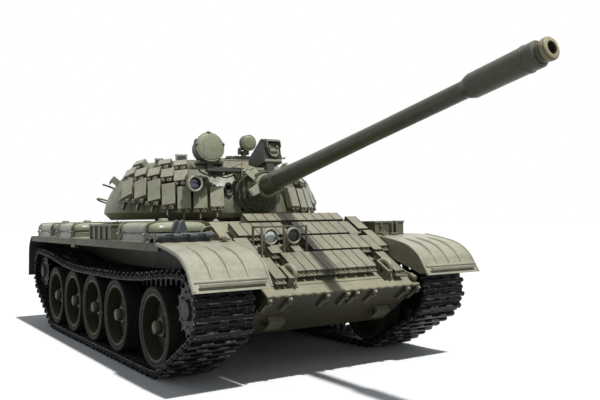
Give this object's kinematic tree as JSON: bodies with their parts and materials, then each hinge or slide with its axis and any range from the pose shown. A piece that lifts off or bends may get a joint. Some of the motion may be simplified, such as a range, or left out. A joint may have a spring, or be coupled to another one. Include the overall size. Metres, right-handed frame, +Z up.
{
  "type": "tracked armoured vehicle model",
  "caption": "Radio-controlled scale model of a post-war medium tank with reactive-armour blocks, turning turret, elevating gun and driven tracks.",
  "frame": {"origin": "centre of the footprint box at ground level", "axes": "+Y towards the rear, -Y along the gun at rest, +X to the tank's own left, +Z up"},
  "size_m": [0.2128, 0.5396, 0.1738],
  "materials": {
    "olive_paint": "matt sun-faded olive paint",
    "wheel_paint": "matt olive paint, rubber tyres bonded on",
    "gun_paint": "satin dark olive paint",
    "track_steel": "dark worn cast links",
    "bright_steel": "turned steel",
    "lamp_glass": "clear ribbed glass",
    "motor_can": "rolled steel can",
    "black_plastic": "fine grain",
    "board": "green circuit board",
    "canvas": "coated canvas in loose folds"
  },
  "bodies": {
    "hull": {"battery_pack": "black_plastic", "control_board": "board", "driver_periscopes": "olive_paint", "electric_motors": "motor_can", "engine_deck_fittings": "olive_paint", "fenders": "olive_paint", "front_mudguard_left": "olive_paint", "front_mudguard_right": "olive_paint", "fuel_tanks": "olive_paint", "gearbox_housings": "olive_paint", "glacis_armour_blocks": "olive_paint", "headlight_guard": "olive_paint", "headlight_lenses": "lamp_glass", "headlights": "olive_paint", "hull_screws": "bright_steel", "lower_hull": "olive_paint", "rear_mudguards": "olive_paint", "spare_links": "track_steel", "stowage_boxes": "olive_paint", "swing_arms": "olive_paint", "tow_fittings": "olive_paint", "track_left": "track_steel", "track_pins": "track_steel", "track_right": "track_steel", "upper_hull": "olive_paint"},
    "road_wheel_right_1": {"road_wheel_right_1": "wheel_paint"},
    "road_wheel_right_2": {"road_wheel_right_2": "wheel_paint"},
    "road_wheel_right_3": {"road_wheel_right_3": "wheel_paint"},
    "road_wheel_right_4": {"road_wheel_right_4": "wheel_paint"},
    "road_wheel_right_5": {"road_wheel_right_5": "wheel_paint"},
    "sprocket_right": {"drive_sprocket_right": "wheel_paint", "drive_gear_right": "bright_steel"},
    "idler_right": {"idler_wheel_right": "wheel_paint"},
    "motor_pinion_right": {"motor_pinion_right": "bright_steel"},
    "road_wheel_left_1": {"road_wheel_left_1": "wheel_paint"},
    "road_wheel_left_2": {"road_wheel_left_2": "wheel_paint"},
    "road_wheel_left_3": {"road_wheel_left_3": "wheel_paint"},
    "road_wheel_left_4": {"road_wheel_left_4": "wheel_paint"},
    "road_wheel_left_5": {"road_wheel_left_5": "wheel_paint"},
    "sprocket_left": {"drive_sprocket_left": "wheel_paint", "drive_gear_left": "bright_steel"},
    "idler_left": {"idler_wheel_left": "wheel_paint"},
    "motor_pinion_left": {"motor_pinion_left": "bright_steel"},
    "driver_hatch": {"driver_hatch": "olive_paint"},
    "traverse_pinion": {"traverse_pinion": "bright_steel"},
    "turret": {"turret_shell": "olive_paint", "turret_armour_blocks": "olive_paint", "turret_ring_gear": "bright_steel", "turret_lamp": "olive_paint", "elevation_servo": "black_plastic", "mantlet_cover": "canvas"},
    "gun": {"gun_barrel": "gun_paint", "gun_mantlet": "gun_paint", "rangefinder": "olive_paint", "main_searchlight": "olive_paint"},
    "loader_hatch": {"loader_hatch": "olive_paint"},
    "cupola": {"commander_cupola": "olive_paint"},
    "commander_hatch": {"commander_hatch": "olive_paint"},
    "cupola_searchlight": {"cupola_searchlight": "olive_paint"}
  },
  "joints": [
    {"name": "sprocket_spin_right", "type": "hinge", "parent": "hull", "child": "sprocket_right", "pos_m": [-0.0825, 0.24129, 0.0495], "axis": [1, 0, 0], "continuous": true},
    {"name": "idler_spin_right", "type": "hinge", "parent": "hull", "child": "idler_right", "pos_m": [-0.0825, -0.09721, 0.046], "axis": [1, 0, 0], "continuous": true},
    {"name": "wheel_spin_right_1", "type": "hinge", "parent": "hull", "child": "road_wheel_right_1", "pos_m": [-0.0825, -0.05071, 0.0307], "axis": [1, 0, 0], "continuous": true},
    {"name": "wheel_spin_right_2", "type": "hinge", "parent": "hull", "child": "road_wheel_right_2", "pos_m": [-0.0825, 0.02189, 0.0307], "axis": [1, 0, 0], "continuous": true},
    {"name": "wheel_spin_right_3", "type": "hinge", "parent": "hull", "child": "road_wheel_right_3", "pos_m": [-0.0825, 0.07729, 0.0307], "axis": [1, 0, 0], "continuous": true},
    {"name": "wheel_spin_right_4", "type": "hinge", "parent": "hull", "child": "road_wheel_right_4", "pos_m": [-0.0825, 0.13269, 0.0307], "axis": [1, 0, 0], "continuous": true},
    {"name": "wheel_spin_right_5", "type": "hinge", "parent": "hull", "child": "road_wheel_right_5", "pos_m": [-0.0825, 0.18809, 0.0307], "axis": [1, 0, 0], "continuous": true},
    {"name": "motor_spin_right", "type": "hinge", "parent": "hull", "child": "motor_pinion_right", "pos_m": [-0.0526, 0.22689, 0.0495], "axis": [1, 0, 0], "continuous": true},
    {"name": "sprocket_spin_left", "type": "hinge", "parent": "hull", "child": "sprocket_left", "pos_m": [0.0825, 0.24129, 0.0495], "axis": [1, 0, 0], "continuous": true},
    {"name": "idler_spin_left", "type": "hinge", "parent": "hull", "child": "idler_left", "pos_m": [0.0825, -0.09721, 0.046], "axis": [1, 0, 0], "continuous": true},
    {"name": "wheel_spin_left_1", "type": "hinge", "parent": "hull", "child": "road_wheel_left_1", "pos_m": [0.0825, -0.05071, 0.0307], "axis": [1, 0, 0], "continuous": true},
    {"name": "wheel_spin_left_2", "type": "hinge", "parent": "hull", "child": "road_wheel_left_2", "pos_m": [0.0825, 0.02189, 0.0307], "axis": [1, 0, 0], "continuous": true},
    {"name": "wheel_spin_left_3", "type": "hinge", "parent": "hull", "child": "road_wheel_left_3", "pos_m": [0.0825, 0.07729, 0.0307], "axis": [1, 0, 0], "continuous": true},
    {"name": "wheel_spin_left_4", "type": "hinge", "parent": "hull", "child": "road_wheel_left_4", "pos_m": [0.0825, 0.13269, 0.0307], "axis": [1, 0, 0], "continuous": true},
    {"name": "wheel_spin_left_5", "type": "hinge", "parent": "hull", "child": "road_wheel_left_5", "pos_m": [0.0825, 0.18809, 0.0307], "axis": [1, 0, 0], "continuous": true},
    {"name": "motor_spin_left", "type": "hinge", "parent": "hull", "child": "motor_pinion_left", "pos_m": [0.0526, 0.22689, 0.0495], "axis": [1, 0, 0], "continuous": true},
    {"name": "turret_traverse", "type": "hinge", "parent": "hull", "child": "turret", "pos_m": [0, 0.06529, 0.095], "axis": [0, 0, 1], "continuous": true},
    {"name": "traverse_motor_spin", "type": "hinge", "parent": "hull", "child": "traverse_pinion", "pos_m": [0, 0.11529, 0.086], "axis": [0, 0, 1], "continuous": true},
    {"name": "gun_elevation", "type": "hinge", "parent": "turret", "child": "gun", "pos_m": [0, -0.00061, 0.1165], "axis": [-1, 0, 0], "range_deg": [-16, 7], "deforming": ["mantlet_cover"]},
    {"name": "driver_hatch_hinge", "type": "hinge", "parent": "hull", "child": "driver_hatch", "pos_m": [0.046, -0.02671, 0.0959], "axis": [0, 1, 0], "range_deg": [0, 100]},
    {"name": "loader_hatch_hinge", "type": "hinge", "parent": "turret", "child": "loader_hatch", "pos_m": [-0.0391, 0.07129, 0.143], "axis": [0, -1, 0], "range_deg": [0, 110]},
    {"name": "cupola_turn", "type": "hinge", "parent": "turret", "child": "cupola", "pos_m": [0.022, 0.06329, 0.145], "axis": [0, 0, 1], "continuous": true},
    {"name": "commander_hatch_hinge", "type": "hinge", "parent": "cupola", "child": "commander_hatch", "pos_m": [0.022, 0.07529, 0.1488], "axis": [-1, 0, 0], "range_deg": [0, 110]},
    {"name": "cupola_searchlight_tilt", "type": "hinge", "parent": "cupola", "child": "cupola_searchlight", "pos_m": [0.022, 0.05169, 0.1515], "axis": [-1, 0, 0], "range_deg": [-8, 30]}
  ],
  "couplings": [
    {"joint": "idler_spin_right", "follows": "sprocket_spin_right", "ratio": 1},
    {"joint": "wheel_spin_right_1", "follows": "sprocket_spin_right", "ratio": 0.75388},
    {"joint": "wheel_spin_right_2", "follows": "sprocket_spin_right", "ratio": 0.75388},
    {"joint": "wheel_spin_right_3", "follows": "sprocket_spin_right", "ratio": 0.75388},
    {"joint": "wheel_spin_right_4", "follows": "sprocket_spin_right", "ratio": 0.75388},
    {"joint": "wheel_spin_right_5", "follows": "sprocket_spin_right", "ratio": 0.75388},
    {"joint": "motor_spin_right", "follows": "sprocket_spin_right", "ratio": -3},
    {"joint": "idler_spin_left", "follows": "sprocket_spin_left", "ratio": 1},
    {"joint": "wheel_spin_left_1", "follows": "sprocket_spin_left", "ratio": 0.75388},
    {"joint": "wheel_spin_left_2", "follows": "sprocket_spin_left", "ratio": 0.75388},
    {"joint": "wheel_spin_left_3", "follows": "sprocket_spin_left", "ratio": 0.75388},
    {"joint": "wheel_spin_left_4", "follows": "sprocket_spin_left", "ratio": 0.75388},
    {"joint": "wheel_spin_left_5", "follows": "sprocket_spin_left", "ratio": 0.75388},
    {"joint": "motor_spin_left", "follows": "sprocket_spin_left", "ratio": -3},
    {"joint": "traverse_motor_spin", "follows": "turret_traverse", "ratio": -7.3333}
  ]
}
